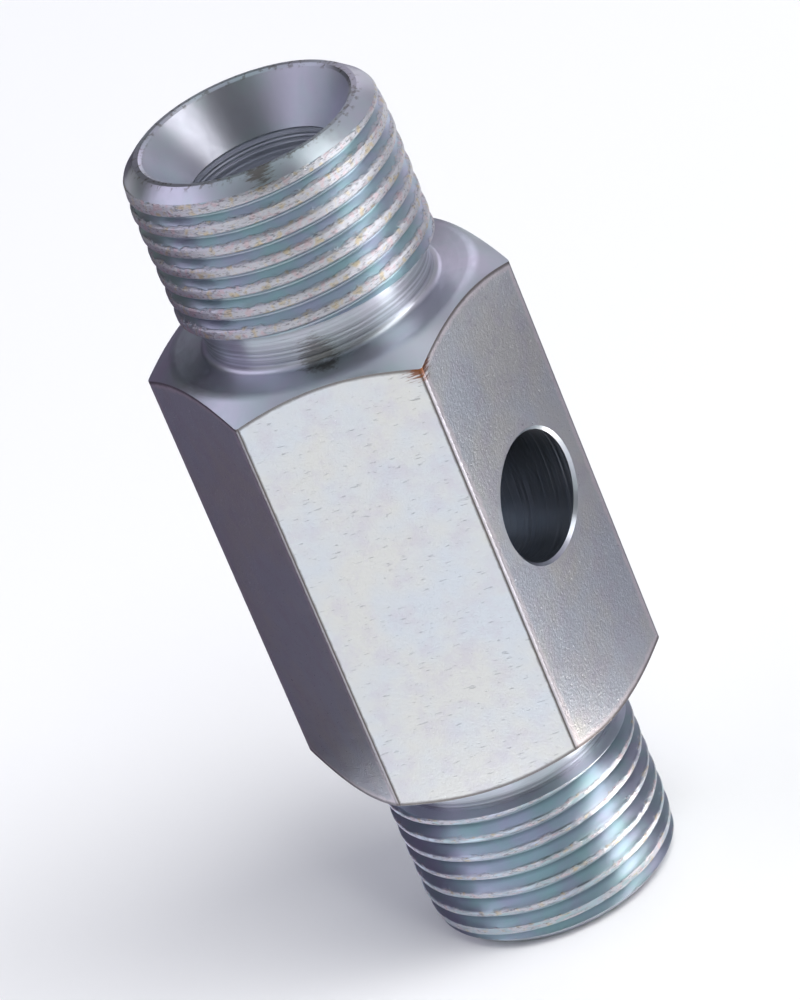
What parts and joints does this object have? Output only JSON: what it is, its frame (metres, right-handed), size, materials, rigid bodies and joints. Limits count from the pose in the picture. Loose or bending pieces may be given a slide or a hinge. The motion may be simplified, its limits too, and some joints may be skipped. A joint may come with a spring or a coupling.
{
  "type": "pipe nipple",
  "caption": "Hex-bodied double male pipe nipple with undercut threads, a through bore with conical seats and a plain side port in one flat.",
  "frame": {"origin": "centre of the lower end face, on the axis of the through bore", "axes": "+Z along the through bore, from the lower end face to the upper one. -Y out of the flat that has the side port. X across the flats' corners"},
  "size_m": [0.0294, 0.0254, 0.0706],
  "materials": {
    "zinc_plated_steel": "blue-white passivated zinc plate over turned and drawn steel, with worn thread crests"
  },
  "bodies": {
    "root": {"nipple": "zinc_plated_steel"}
  },
  "joints": []
}
